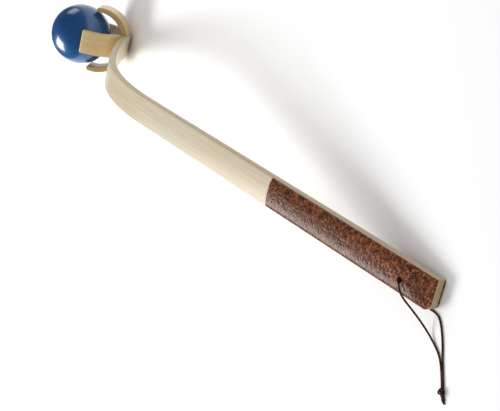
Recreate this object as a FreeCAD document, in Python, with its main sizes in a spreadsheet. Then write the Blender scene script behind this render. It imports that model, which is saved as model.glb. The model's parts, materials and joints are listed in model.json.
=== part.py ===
import FreeCAD, Part
import math
import os
import Sketcher
from FreeCAD import Placement, Rotation, Vector

# A bentwood ball launcher: a long flat ash strip that arches down to a claw of four fingers,
# which holds a ball by its springiness. Millimetres and degrees.
#
# Three frames are used.
#   handle frame: origin at the middle of the butt end, +X out of the butt, +Y across the strip,
#                 +Z out of the front face. The straight grip runs along -X.
#   claw frame:   origin at the ball's centre, +X from the ball to the root of the claw,
#                 +Y across the strip, +Z towards the front finger.
#   rest frame:   the finished part, lying on its back on a table at Z = 0.

doc = FreeCAD.newDocument("ball_launcher")
sheet = doc.addObject("Spreadsheet::Sheet", "dims")
values = {}


def dimension(alias, value):
    row = len(values) + 1
    sheet.set(f"A{row}", alias)
    sheet.set(f"B{row}", str(value))
    sheet.setAlias(f"B{row}", alias)
    values[alias] = float(value)


# ball and claw
dimension("ball_diameter", 63.5)
dimension("claw_lean", 48.5)            # claw axis below the grip's line
dimension("claw_depth", 52.3)           # ball centre to the outer face of the claw's root
dimension("finger_radius", 31.2)        # inner radius of the front and back fingers
dimension("front_reach", 7.5)           # where the front finger ends, from the ball centre
dimension("back_reach", 7.5)
dimension("tip_thickness", 4.8)
dimension("finger_tip_round", 2)
dimension("side_root_radius", 41)       # outer radius of the side fingers at their root
dimension("side_root_angle", 24)
dimension("side_outer_radius", 30.5)
dimension("side_outer_sweep", 80)
dimension("side_inner_radius", 26.4)
dimension("side_inner_sweep", 76)
# strip
dimension("strip_width", 24)
dimension("strip_thickness", 6.6)
dimension("grip_run", 368)              # straight part, from the butt to the neck
dimension("neck_radius", 247)
dimension("neck_angle", 32.5)
dimension("throat_radius", 815)
dimension("throat_angle", 9)
dimension("edge_round", 0.8)
dimension("butt_round", 7)               # plan radius of the butt's corner on the cord's side
# grip pads
dimension("pad_length", 181)
dimension("front_pad_crown", 3.2)
dimension("front_pad_end", 1.4)
dimension("pad_roll", 16)               # the last stretch, where the pad falls to the butt
dimension("front_pad_side", 0.3)        # wood left bare along each long side
dimension("front_pad_round", 1.2)
dimension("back_pad_thickness", 1.2)
dimension("back_pad_side", 1)
dimension("back_pad_round", 0.6)
# cord
dimension("cord_hole", 4.6)
dimension("hole_inset", 29.5)           # hole centre from the butt
dimension("hole_offset", 2)             # and from the middle of the strip, towards -Y
dimension("cord_diameter", 1.4)
dimension("knot_diameter", 4.2)
dimension("knot_length", 4.2)
# how the finished part lies on the table
dimension("rest_tilt", 11.193)
doc.recompute()

half_thickness = values["strip_thickness"] / 2
half_width = values["strip_width"] / 2


def new_body(label):
    body = doc.addObject("PartDesign::Body", label)
    body.Label = label
    return body


def sketch_on(body, role, name):
    plane = next(f for f in body.Origin.OriginFeatures if f.Role == role)
    sketch = body.newObject("Sketcher::SketchObject", name)
    sketch.AttachmentSupport = [(plane, "")]
    sketch.MapMode = "FlatFace"
    return sketch


def bind(sketch, constraint, expression):
    """Adds a dimension constraint and ties it to the sheet."""
    index = sketch.addConstraint(constraint)
    sketch.setExpression(f"Constraints[{index}]", expression)
    return index


class Chain:
    """A run of tangent lines and arcs in a sketch, each sized from the sheet."""

    def __init__(self, sketch, x, y, heading):
        self.sketch = sketch
        self.point = Vector(x, y, 0)
        self.heading = heading
        self.first = None
        self.last = None

    def _join(self, index, start_end, finish_end):
        if self.last is None:
            self.first = (index, start_end)
        else:
            self.sketch.addConstraint(
                Sketcher.Constraint("Tangent", *self.last, index, start_end))
        self.last = (index, finish_end)

    def line(self, length, expression):
        turn = math.radians(self.heading)
        step = Vector(math.cos(turn), math.sin(turn), 0)
        finish = self.point + step * length
        index = self.sketch.addGeometry(Part.LineSegment(self.point, finish))
        self._join(index, 1, 2)
        if expression:
            bind(self.sketch, Sketcher.Constraint("Distance", index, length), expression)
        self.point = finish
        return index

    def arc(self, radius, sweep, side, radius_expression, sweep_expression):
        """side is 1 for a left turn, -1 for a right turn."""
        turn = math.radians(self.heading)
        centre = self.point + Vector(-math.sin(turn), math.cos(turn), 0) * radius * side
        start = math.atan2(self.point.y - centre.y, self.point.x - centre.x)
        finish = start + side * math.radians(sweep)
        low, high = sorted((start, finish))
        circle = Part.Circle(centre, Vector(0, 0, 1), radius)
        index = self.sketch.addGeometry(Part.ArcOfCircle(circle, low, high))
        self._join(index, *((1, 2) if side > 0 else (2, 1)))
        if radius_expression:
            bind(self.sketch, Sketcher.Constraint("Radius", index, radius), radius_expression)
        if sweep_expression:
            angle = Sketcher.Constraint("Angle", index, math.radians(sweep))
            bind(self.sketch, angle, sweep_expression)
        self.point = centre + Vector(math.cos(finish), math.sin(finish), 0) * radius
        self.heading += side * sweep
        return index


def close(sketch, end_a, end_b):
    """A straight cap between two free ends; returns its index."""
    points = [sketch.getPoint(*end) for end in (end_a, end_b)]
    index = sketch.addGeometry(Part.LineSegment(*points))
    sketch.addConstraint(Sketcher.Constraint("Coincident", *end_a, index, 1))
    sketch.addConstraint(Sketcher.Constraint("Coincident", *end_b, index, 2))
    return index


def pad(body, sketch, expression):
    feature = body.newObject("PartDesign::Pad", sketch.Name + "_pad")
    feature.Profile = sketch
    feature.Midplane = True
    feature.setExpression("Length", expression)
    doc.recompute()
    return feature


def pocket(body, sketch, expression):
    before = body.Shape.Volume
    feature = body.newObject("PartDesign::Pocket", sketch.Name + "_pocket")
    feature.Profile = sketch
    feature.Midplane = True
    feature.setExpression("Length", expression)
    doc.recompute()
    if body.Shape.Volume > before - 1:
        raise RuntimeError(f"{sketch.Name} cut nothing")
    return feature


def round_edges(body, expression, wanted, name):
    base = body.Tip
    names = []
    for number, edge in enumerate(base.Shape.Edges, 1):
        if wanted(edge):
            names.append(f"Edge{number}")
    fillet = body.newObject("PartDesign::Fillet", name)
    fillet.Base = (base, names)
    fillet.setExpression("Radius", expression)
    doc.recompute()
    return fillet


def at_side(edge, half, axis):
    """True for an edge that lies in one of the two side faces, at +half or -half on axis."""
    box = edge.BoundBox
    low, high = {"y": (box.YMin, box.YMax), "z": (box.ZMin, box.ZMax)}[axis]
    return abs(abs(low) - half) < 0.01 and abs(high - low) < 0.01


# ---------------------------------------------------------------- centre line
# The strip's centre line gives the place and lean of the claw in the handle frame.
def along_neck():
    x = -values["grip_run"]
    z = 0.0
    heading = 0.0
    for radius, angle in (("neck_radius", "neck_angle"), ("throat_radius", "throat_angle")):
        r = values[radius]
        finish = heading + math.radians(values[angle])
        x -= r * (math.sin(finish) - math.sin(heading))
        z -= r * (math.cos(heading) - math.cos(finish))
        heading = finish
    return Vector(x, 0, z)


lean = math.radians(values["claw_lean"])
claw_axis = Vector(math.cos(lean), 0, -math.sin(lean))
root_distance = values["claw_depth"] - half_thickness
ball_centre = along_neck() - claw_axis * root_distance

# ---------------------------------------------------------------- fingers' shape
# The inner face of a front or back finger is a quarter circle and a straight leg. Its outer face
# is one arc from the root to the tip, so the finger thins from the strip's thickness to its tip.
leg_start = values["claw_depth"] - values["strip_thickness"] - values["finger_radius"]


def outer_arc(reach):
    """Radius and sweep of the arc that leaves the root squarely and ends at the tip's corner."""
    depth = values["claw_depth"] - reach
    spread = values["finger_radius"] + values["tip_thickness"]
    radius = (depth ** 2 + spread ** 2) / (2 * depth)
    return radius, math.degrees(math.atan2(spread, radius - depth))


# ---------------------------------------------------------------- handle strip
# One strip makes the grip, the neck, the root of the claw and the back finger.
handle = new_body("handle_strip")
side = sketch_on(handle, "XZ_Plane", "handle_side")


def handle_face(sign):
    """The chain of the front (+1) or back (-1) face, from the butt to the back finger's tip."""
    chain = Chain(side, 0, sign * half_thickness, 180)
    chain.line(values["grip_run"], "dims.grip_run")
    plus_or_minus = "+" if sign > 0 else "-"
    for name in ("neck", "throat"):
        chain.arc(
            values[f"{name}_radius"] + sign * half_thickness,
            values[f"{name}_angle"], 1,
            f"dims.{name}_radius {plus_or_minus} dims.strip_thickness / 2",
            f"dims.{name}_angle")
    if sign > 0:
        chain.arc(values["finger_radius"], 90, -1, "dims.finger_radius", "90")
        chain.line(
            leg_start - values["back_reach"],
            "dims.claw_depth - dims.strip_thickness - dims.finger_radius - dims.back_reach")
    else:
        chain.arc(*outer_arc(values["back_reach"]), -1, None, None)
    side.addConstraint(Sketcher.Constraint("Horizontal", chain.first[0]))
    side.addConstraint(Sketcher.Constraint("PointOnObject", *chain.first, -2))
    ends = (-1, 1, *chain.first) if sign > 0 else (*chain.first, -1, 1)
    bind(side, Sketcher.Constraint("DistanceY", *ends, half_thickness),
         "dims.strip_thickness / 2")
    return chain


front_face = handle_face(1)
back_face = handle_face(-1)
close(side, front_face.first, back_face.first)
tip_cap = close(side, front_face.last, back_face.last)
side.addConstraint(Sketcher.Constraint("Perpendicular", front_face.last[0], tip_cap))
bind(side, Sketcher.Constraint("Distance", tip_cap, values["tip_thickness"]),
     "dims.tip_thickness")
doc.recompute()
pad(handle, side, "dims.strip_width")


def rectangle(sketch, x_low, x_high, y_half, expressions):
    """A rectangle centred on the sketch's X axis; expressions give x_low, x_high and 2 y_half."""
    corners = [(x_low, -y_half), (x_high, -y_half), (x_high, y_half), (x_low, y_half)]
    first = sketch.GeometryCount
    for here, there in zip(corners, corners[1:] + corners[:1]):
        sketch.addGeometry(Part.LineSegment(Vector(*here, 0), Vector(*there, 0)))
    for number in range(4):
        following = first + (number + 1) % 4
        sketch.addConstraint(
            Sketcher.Constraint("Coincident", first + number, 2, following, 1))
    for number, kind in ((0, "Horizontal"), (2, "Horizontal"), (3, "Vertical")):
        sketch.addConstraint(Sketcher.Constraint(kind, first + number))
    sketch.addConstraint(Sketcher.Constraint("Symmetric", first, 2, first + 1, 2, -1))
    bind(sketch, Sketcher.Constraint("DistanceX", -1, 1, first, 1, x_low), expressions[0])
    bind(sketch, Sketcher.Constraint("DistanceX", -1, 1, first, 2, x_high), expressions[1])
    bind(sketch, Sketcher.Constraint("DistanceY", first + 1, 1, first + 1, 2, 2 * y_half),
         expressions[2])


# Half-lap: the strip's inner half is cut away where the side fingers cross it.
lap_depth = values["claw_depth"] - half_thickness
lap = sketch_on(handle, "XZ_Plane", "handle_lap")
lap.AttachmentOffset = Placement(
    Vector(ball_centre.x, ball_centre.z, 0), Rotation(Vector(0, 0, 1), -values["claw_lean"]))
rectangle(lap, lap_depth - values["strip_thickness"], lap_depth, half_width,
          ("dims.claw_depth - dims.strip_thickness * 3 / 2",
           "dims.claw_depth - dims.strip_thickness / 2", "dims.strip_width"))
pocket(handle, lap, "dims.strip_width * 2")


def cord_hole(body):
    sketch = sketch_on(body, "XY_Plane", body.Name + "_hole")
    centre = Vector(-values["hole_inset"], -values["hole_offset"], 0)
    radius = values["cord_hole"] / 2
    circle = sketch.addGeometry(Part.Circle(centre, Vector(0, 0, 1), radius))
    bind(sketch, Sketcher.Constraint("DistanceY", circle, 3, -1, 1, values["hole_offset"]),
         "dims.hole_offset")
    bind(sketch, Sketcher.Constraint("DistanceX", circle, 3, -1, 1, values["hole_inset"]),
         "dims.hole_inset")
    bind(sketch, Sketcher.Constraint("Radius", circle, radius), "dims.cord_hole / 2")
    pocket(body, sketch, "dims.strip_width * 2")


def round_butt(body):
    """Rounds the upright edge between the butt and the long side where the cord lies."""
    def corner(edge):
        box = edge.BoundBox
        upright = box.XLength < 0.01 and box.YLength < 0.01
        return upright and abs(box.XMax) < 0.01 and box.YMax < 0

    round_edges(body, "dims.butt_round", corner, body.Name + "_butt")


cord_hole(handle)
round_butt(handle)
lap_zone = values["strip_width"] * 0.8


def strip_side_edge(edge):
    clear_of_lap = (edge.CenterOfMass - lap_centre).Length > lap_zone
    return at_side(edge, half_width, "y") and clear_of_lap


lap_centre = ball_centre + claw_axis * values["claw_depth"]
round_edges(handle, "dims.edge_round", strip_side_edge, "handle_edges")

# ---------------------------------------------------------------- front finger
# A short bent strip, feathered at its root and glued to the strip's front face.
front = new_body("front_finger")
plan = sketch_on(front, "XZ_Plane", "front_finger_side")
inner = values["finger_radius"]
outer, _ = outer_arc(values["front_reach"])
outer_middle = values["claw_depth"] - outer
neck_radius = values["throat_radius"] + half_thickness
neck_middle = lap_depth + values["throat_radius"]
span = neck_middle - outer_middle
crotch_x = outer_middle + (span ** 2 + outer ** 2 - neck_radius ** 2) / (2 * span)
crotch_y = math.sqrt(outer ** 2 - (crotch_x - outer_middle) ** 2)


def centred_arc(sketch, middle, radius, start_y, finish, expressions):
    """An arc about a point on the X axis, from height start_y to the angle finish."""
    low, high = sorted((math.asin(start_y / radius), finish))
    if middle > values["claw_depth"]:
        low, high = sorted((math.pi - math.asin(start_y / radius), finish))
    circle = Part.Circle(Vector(middle, 0, 0), Vector(0, 0, 1), radius)
    index = sketch.addGeometry(Part.ArcOfCircle(circle, low, high))
    sketch.addConstraint(Sketcher.Constraint("PointOnObject", index, 3, -1))
    bind(sketch, Sketcher.Constraint("DistanceX", -1, 1, index, 3, middle), expressions[0])
    bind(sketch, Sketcher.Constraint("Radius", index, radius), expressions[1])
    return index


inner_arc = centred_arc(plan, leg_start, inner, half_width, math.pi / 2,
                        ("dims.claw_depth - dims.strip_thickness - dims.finger_radius",
                         "dims.finger_radius"))
leg = plan.addGeometry(Part.LineSegment(
    Vector(leg_start, inner, 0), Vector(values["front_reach"], inner, 0)))
cap_top = inner + values["tip_thickness"]
cap = plan.addGeometry(Part.LineSegment(
    Vector(values["front_reach"], inner, 0), Vector(values["front_reach"], cap_top, 0)))
outer_radius_text = ("((dims.claw_depth - dims.front_reach)^2"
                     " + (dims.finger_radius + dims.tip_thickness)^2)"
                     " / (2 * (dims.claw_depth - dims.front_reach))")
outer_face = centred_arc(plan, outer_middle, outer, crotch_y,
                         math.atan2(cap_top, values["front_reach"] - outer_middle),
                         (f"dims.claw_depth - {outer_radius_text}", outer_radius_text))
neck_face = centred_arc(plan, neck_middle, neck_radius, half_width,
                        math.pi - math.asin(crotch_y / neck_radius),
                        ("dims.claw_depth - dims.strip_thickness / 2 + dims.throat_radius",
                         "dims.throat_radius + dims.strip_thickness / 2"))
root = plan.addGeometry(Part.LineSegment(
    plan.getPoint(neck_face, 2), plan.getPoint(inner_arc, 1)))
for pair in ((inner_arc, 2, leg, 1), (leg, 2, cap, 1), (cap, 2, outer_face, 2),
             (outer_face, 1, neck_face, 1), (neck_face, 2, root, 1), (root, 2, inner_arc, 1)):
    plan.addConstraint(Sketcher.Constraint("Coincident", *pair))
plan.addConstraint(Sketcher.Constraint("Horizontal", leg))
plan.addConstraint(Sketcher.Constraint("Vertical", cap))
plan.addConstraint(Sketcher.Constraint("Horizontal", root))
bind(plan, Sketcher.Constraint("DistanceX", -1, 1, leg, 2, values["front_reach"]),
     "dims.front_reach")
bind(plan, Sketcher.Constraint("DistanceY", -1, 1, root, 1, half_width), "dims.strip_width / 2")
doc.recompute()
pad(front, plan, "dims.strip_width")


def front_finger_edge(edge):
    return at_side(edge, half_width, "y") and edge.CenterOfMass.x < leg_start + inner * 0.8


round_edges(front, "dims.edge_round", front_finger_edge, "front_finger_edges")

# ---------------------------------------------------------------- side fingers
# One bent strip through the half-lap at the root makes both side fingers.
sides = new_body("side_fingers")
bow = sketch_on(sides, "XY_Plane", "side_fingers_plan")


def bow_face(root_radius, side_radius, sweep, texts):
    root_middle = values["claw_depth"] - values["side_root_radius"]
    half_angle = values["side_root_angle"]
    shift = root_radius - side_radius
    low = math.radians(-half_angle)
    tip = math.radians(-half_angle - sweep)
    start_x = root_middle + shift * math.cos(low) + side_radius * math.cos(tip)
    start_y = shift * math.sin(low) + side_radius * math.sin(tip)
    chain = Chain(bow, start_x, start_y, 90 - half_angle - sweep)
    chain.arc(side_radius, sweep, 1, texts[1], texts[2])
    middle = chain.arc(root_radius, 2 * half_angle, 1, texts[0], "dims.side_root_angle * 2")
    chain.arc(side_radius, sweep, 1, texts[1], texts[2])
    bow.addConstraint(Sketcher.Constraint("Symmetric", middle, 1, middle, 2, -1))
    bind(bow, Sketcher.Constraint("DistanceX", -1, 1, middle, 3, root_middle),
         "dims.claw_depth - dims.side_root_radius")
    return chain


outside = bow_face(values["side_root_radius"], values["side_outer_radius"],
                   values["side_outer_sweep"],
                   ("dims.side_root_radius", "dims.side_outer_radius", "dims.side_outer_sweep"))
inside = bow_face(values["side_root_radius"] - values["strip_thickness"],
                  values["side_inner_radius"], values["side_inner_sweep"],
                  ("dims.side_root_radius - dims.strip_thickness", "dims.side_inner_radius",
                   "dims.side_inner_sweep"))
close(bow, outside.first, inside.first)
close(bow, outside.last, inside.last)
doc.recompute()
pad(sides, bow, "dims.strip_width")
round_edges(sides, "dims.finger_tip_round",
            lambda e: abs(e.Length - values["strip_width"]) < 0.01 and e.CenterOfMass.x < leg_start + 2,
            "side_finger_tips")
round_edges(sides, "dims.edge_round", lambda e: at_side(e, half_width, "z"), "side_finger_edges")
side_lap = sketch_on(sides, "XY_Plane", "side_lap")
rectangle(side_lap, lap_depth, lap_depth + values["strip_thickness"], half_width,
          ("dims.claw_depth - dims.strip_thickness / 2",
           "dims.claw_depth + dims.strip_thickness / 2", "dims.strip_width"))
pocket(sides, side_lap, "dims.strip_width * 2")

# ---------------------------------------------------------------- grip pads
# Moulded cork pads glued to both broad faces of the grip, level with the butt.
def grip_pad(label, profile, texts, width_text, width, round_text):
    """profile goes round the pad's side view; texts tie each corner's x and z to the sheet."""
    body = new_body(label)
    sketch = sketch_on(body, "XZ_Plane", label + "_side")
    for here, there in zip(profile, profile[1:] + profile[:1]):
        sketch.addGeometry(Part.LineSegment(Vector(*here, 0), Vector(*there, 0)))
    for number, (corner, (x_text, z_text)) in enumerate(zip(profile, texts)):
        following = (number + 1) % len(profile)
        sketch.addConstraint(Sketcher.Constraint("Coincident", number, 2, following, 1))
        if x_text:
            bind(sketch, Sketcher.Constraint("DistanceX", number, 1, -1, 1, -corner[0]), x_text)
        else:
            sketch.addConstraint(Sketcher.Constraint("PointOnObject", number, 1, -2))
        ends = (-1, 1, number, 1) if corner[1] > 0 else (number, 1, -1, 1)
        bind(sketch, Sketcher.Constraint("DistanceY", *ends, abs(corner[1])), z_text)
    doc.recompute()
    pad(body, sketch, width_text)
    cord_hole(body)
    round_butt(body)
    outer_face = max(abs(z) for _, z in profile)

    def outer_edge(edge):
        off_the_strip = abs(edge.CenterOfMass.z) > half_thickness + 0.5
        return off_the_strip and at_side(edge, width / 2, "y") and edge.Length > outer_face

    round_edges(body, round_text, outer_edge, label + "_edges")
    return body


face = half_thickness
crown = face + values["front_pad_crown"]
front_pad = grip_pad(
    "front_grip_pad",
    [(-values["pad_length"], face), (0, face), (0, face + values["front_pad_end"]),
     (-values["pad_roll"], crown), (-values["pad_length"], crown)],
    [("dims.pad_length", "dims.strip_thickness / 2"), (None, "dims.strip_thickness / 2"),
     (None, "dims.strip_thickness / 2 + dims.front_pad_end"),
     ("dims.pad_roll", "dims.strip_thickness / 2 + dims.front_pad_crown"),
     ("dims.pad_length", "dims.strip_thickness / 2 + dims.front_pad_crown")],
    "dims.strip_width - 2 * dims.front_pad_side",
    values["strip_width"] - 2 * values["front_pad_side"], "dims.front_pad_round")
back = -face - values["back_pad_thickness"]
back_pad = grip_pad(
    "back_grip_pad",
    [(-values["pad_length"], -face), (-values["pad_length"], back), (0, back), (0, -face)],
    [("dims.pad_length", "dims.strip_thickness / 2"),
     ("dims.pad_length", "dims.strip_thickness / 2 + dims.back_pad_thickness"),
     (None, "dims.strip_thickness / 2 + dims.back_pad_thickness"),
     (None, "dims.strip_thickness / 2")],
    "dims.strip_width - 2 * dims.back_pad_side",
    values["strip_width"] - 2 * values["back_pad_side"], "dims.back_pad_round")

# ---------------------------------------------------------------- ball
ball = doc.addObject("Part::Sphere", "ball")
ball.Label = "ball"
ball.setExpression("Radius", "dims.ball_diameter / 2")
doc.recompute()

# ---------------------------------------------------------------- rest pose
# Lying on its back: the butt's lower edge and the bend of the back finger touch the table.
tilt = Rotation(Vector(0, 1, 0), values["rest_tilt"])
to_claw = Placement(ball_centre, Rotation(Vector(0, 1, 0), values["claw_lean"]))


def extent(obj, placement, axis, beyond=0.0):
    """Lowest and highest coordinate of an object's points with x below -beyond, once placed."""
    points, _ = obj.Shape.tessellate(0.02)
    placed = [getattr(placement * point, axis) for point in points if point.x <= -beyond]
    return min(placed), max(placed)


turn_only = Placement(Vector(0, 0, 0), tilt)
finger_low, _ = extent(handle, turn_only, "z", values["grip_run"])
pad_low, _ = extent(back_pad, turn_only, "z")
_, butt_x = extent(front_pad, turn_only, "x")
ball_x = (turn_only * ball_centre).x - values["ball_diameter"] / 2
rest = Placement(Vector(-(butt_x + ball_x) / 2, 0, -min(finger_low, pad_low)), tilt)
for piece in (handle, front_pad, back_pad):
    piece.Placement = rest
for piece in (front, sides, ball):
    piece.Placement = rest.multiply(to_claw)

# ---------------------------------------------------------------- cord
# One thin cord goes through the hole. Its two strands lie on the table beside the butt and meet
# in an overhand knot, which leaves two short tails. Points are in the rest frame.
cord_radius = values["cord_diameter"] / 2
FRONT_STRAND = [
    (305.76, -2, 10.04), (306.5, -2.3, 13.6), (307.8, -2.1, 17.7), (311.4, -2.9, 19.4),
    (314.2, -5.5, 19.6), (315.9, -8.1, 18.8), (318.2, -10.1, 17.5), (321.5, -12.2, 15.8),
    (324.9, -15.4, 12.6), (327.3, -19.6, 8.2), (330.6, -24.3, 3.9), (336.3, -28.6, 1.3),
    (343, -31.9, 0.7), (349, -35, 0.7), (353.4, -39.4, 0.7), (356.6, -44.2, 0.7),
    (359.4, -49, 0.7), (361.6, -53, 0.7)]
BACK_STRAND = [
    (305.76, -2, 10.04), (305.2, -1.77, 7.34), (304.9, -2, 4.7), (305.7, -3.1, 2.1),
    (308.6, -5, 0.85), (314, -8.4, 0.7), (320.4, -12.1, 0.7), (327, -13.5, 0.7),
    (333.4, -13.1, 0.7), (338.8, -14.7, 0.7), (343.5, -18.6, 0.7), (347.3, -23.7, 0.7),
    (350.4, -29.1, 0.7), (352.9, -34.4, 0.7), (355.4, -39.2, 0.7), (358.1, -43.7, 0.7),
    (360.794, -48.422, 0.7), (362.914, -52.277, 0.7)]


def smooth_path(points):
    """Straight runs joined by tangent arcs, each as large as its two runs allow."""
    corners = [Vector(*point) for point in points]
    edges = []
    radii = []
    last = corners[0]
    for before, here, after in zip(corners, corners[1:], corners[2:]):
        back_along = (before - here).normalize()
        onward = (after - here).normalize()
        half_turn = (math.pi - back_along.getAngle(onward)) / 2
        setback = 0.45 * min((before - here).Length, (after - here).Length)
        radius = setback / math.tan(half_turn)
        arc_start = here + back_along * setback
        arc_finish = here + onward * setback
        bulge = radius / math.cos(half_turn) - radius
        arc_middle = here + (back_along + onward).normalize() * bulge
        edges.append(Part.LineSegment(last, arc_start).toShape())
        edges.append(Part.Arc(arc_start, arc_middle, arc_finish).toShape())
        radii.append(radius)
        last = arc_finish
    edges.append(Part.LineSegment(last, corners[-1]).toShape())
    return Part.Wire(edges), radii


def tube(label, points):
    path, radii = smooth_path(points)
    first = path.Edges[0]
    circle = Part.Circle(first.valueAt(first.FirstParameter),
                         first.tangentAt(first.FirstParameter), cord_radius)
    section = Part.Wire([circle.toShape()])
    solid = path.makePipeShell([section], True, False)
    expected = math.pi * cord_radius ** 2 * path.Length
    if abs(solid.Volume - expected) > 0.01 * expected:
        raise RuntimeError(f"{label}: volume {solid.Volume:.1f}, expected {expected:.1f}")
    print(f"{label}: {path.Length:.1f} mm long, radii",
          " ".join(f"{radius:.1f}" for radius in radii))
    return solid


def cord_piece(label, shape):
    feature = doc.addObject("Part::Feature", label)
    feature.Label = label
    feature.Shape = shape
    feature.Placement = Placement()
    return feature


front_strand = cord_piece("cord_front_strand", tube("cord_front_strand", FRONT_STRAND))
back_strand = cord_piece("cord_back_strand", tube("cord_back_strand", BACK_STRAND))

# The knot is a short roll that both strands run into; the tails leave its far side.
front_end = Vector(*FRONT_STRAND[-1])
knot_start = (front_end + Vector(*BACK_STRAND[-1])) / 2
knot_start.z = values["knot_diameter"] / 2
knot_axis = (front_end - Vector(*FRONT_STRAND[-2])).normalize()
knot_side = Vector(-knot_axis.y, knot_axis.x, 0)
knot = cord_piece("cord_knot", Part.makeCylinder(
    values["knot_diameter"] / 2, values["knot_length"], knot_start, knot_axis))
knot_finish = knot_start + knot_axis * values["knot_length"]
TAIL_STEPS = [
    [(0, -0.85), (2.1, -0.85), (4, 0.05), (5.5, 1.45)],
    [(0, 0.85), (1.9, 0.85), (3.6, 1.65)]]
tails = []
for steps in TAIL_STEPS:
    points = []
    for along, aside in steps:
        spot = knot_finish + knot_axis * along + knot_side * aside
        points.append((spot.x, spot.y, cord_radius))
    tails.append(tube("cord_tails", points))
cord_tails = cord_piece("cord_tails", Part.makeCompound(tails))

# ---------------------------------------------------------------- checks and files
doc.recompute()
for item in doc.Objects:
    if "Invalid" in item.State or "Error" in item.State:
        raise RuntimeError(f"{item.Name} failed: {item.State}")
pieces = (handle, front, sides, front_pad, back_pad, ball,
          front_strand, back_strand, knot, cord_tails)
for piece in pieces:
    if piece.Shape.isNull() or not piece.Shape.isValid():
        raise RuntimeError(f"{piece.Label} is not a valid solid")
os.makedirs("parts", exist_ok=True)
for piece in pieces:
    piece.Shape.exportStep(f"parts/{piece.Label}.step")
    print(piece.Label, round(piece.Shape.Volume), "mm3, lowest point",
          round(piece.Shape.optimalBoundingBox().ZMin, 2))
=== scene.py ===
import json
import math

import bmesh
import bpy
from mathutils import Matrix, Vector, noise


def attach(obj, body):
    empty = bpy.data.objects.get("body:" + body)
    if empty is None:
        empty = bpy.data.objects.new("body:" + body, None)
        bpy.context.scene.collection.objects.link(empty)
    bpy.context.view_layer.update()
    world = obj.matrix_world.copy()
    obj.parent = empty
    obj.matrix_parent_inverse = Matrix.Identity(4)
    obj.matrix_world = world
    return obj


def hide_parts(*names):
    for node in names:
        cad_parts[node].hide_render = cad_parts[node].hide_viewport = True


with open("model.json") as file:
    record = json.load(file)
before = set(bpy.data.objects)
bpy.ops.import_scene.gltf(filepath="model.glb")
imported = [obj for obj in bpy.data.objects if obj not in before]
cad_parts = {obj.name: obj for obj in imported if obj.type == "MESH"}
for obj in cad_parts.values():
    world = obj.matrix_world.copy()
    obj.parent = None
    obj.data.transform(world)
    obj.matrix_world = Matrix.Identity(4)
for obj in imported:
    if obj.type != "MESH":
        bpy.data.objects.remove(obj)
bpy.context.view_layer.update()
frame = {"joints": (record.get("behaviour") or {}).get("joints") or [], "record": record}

# ---------------------------------------------------------------- handle strip
# One steam-bent strip of pale ash. It makes the grip, the arched neck, the root of the claw and
# the back finger, which thins towards its tip. Its inner half is cut away for the side fingers.
STRIP_WIDTH = 0.024
STRIP_THICKNESS = 0.0066
STRIP_EDGE = 0.0009             # rounding of the long edges
TIP_ROUND = 0.0014              # rounding across the ends of the fingers
GRIP_RUN = 0.368
NECK_RADIUS, NECK_ANGLE = 0.247, math.radians(32.5)
THROAT_RADIUS, THROAT_ANGLE = 0.815, math.radians(9)
CLAW_LEAN = math.radians(48.5)
CLAW_DEPTH = 0.0523             # ball centre to the outer face of the claw's root
FINGER_RADIUS = 0.0312          # inner radius of the front and back fingers
FINGER_REACH = 0.0075           # where those two end, from the ball's centre
TIP_THICKNESS = 0.0048
LAP_STEP = 1.0001               # a half-lap's shoulder is the step between two turns this close

butt = next(m for m in frame["record"]["mounts"] if m["name"] == "butt_end")
butt_middle, grip_axis = Vector(butt["pos_m"]), Vector(butt["axis"]).normalized()
ball_centre = Vector(frame["joints"][0]["pos_m"])
ACROSS = Vector((0, 1, 0))


def placed(origin, x_axis):
    """The matrix of a frame with that +X, +Y across the strip, and +Z out of the front face."""
    turn = Matrix((x_axis, ACROSS, x_axis.cross(ACROSS))).transposed()
    return Matrix.Translation(origin) @ turn.to_4x4()


handle_frame = placed(butt_middle, grip_axis)
claw_frame = placed(ball_centre, Matrix.Rotation(CLAW_LEAN, 3, "Y") @ grip_axis)


class Wire:
    """A socket that takes part in arithmetic: each operator adds a Math node to its tree."""

    def __init__(self, wires, socket):
        self.wires, self.socket = wires, socket

    def math(self, operation, *others, swap=False):
        terms = [self, *others]
        if swap:
            terms.reverse()
        made = self.wires.node("ShaderNodeMath", {"operation": operation}, dict(enumerate(terms)))
        return made["Value"]

    def __add__(self, other):
        return self.math("ADD", other)

    def __sub__(self, other):
        return self.math("SUBTRACT", other)

    def __mul__(self, other):
        return self.math("MULTIPLY", other)

    def __truediv__(self, other):
        return self.math("DIVIDE", other)

    def __rsub__(self, other):
        return self.math("SUBTRACT", other, swap=True)

    __radd__ = __add__

    def scaled(self, factor):
        made = self.wires.node("ShaderNodeVectorMath", {"operation": "SCALE"},
                               {"Vector": self, "Scale": factor})
        return made["Vector"]

    def plus(self, other):
        made = self.wires.node("ShaderNodeVectorMath", {"operation": "ADD"}, {0: self, 1: other})
        return made["Vector"]


class Made:
    """A new node's outputs, by name or number, as wires."""

    def __init__(self, wires, node):
        self.wires, self.own = wires, node

    def __getitem__(self, key):
        return Wire(self.wires, self.own.outputs[key])


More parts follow.
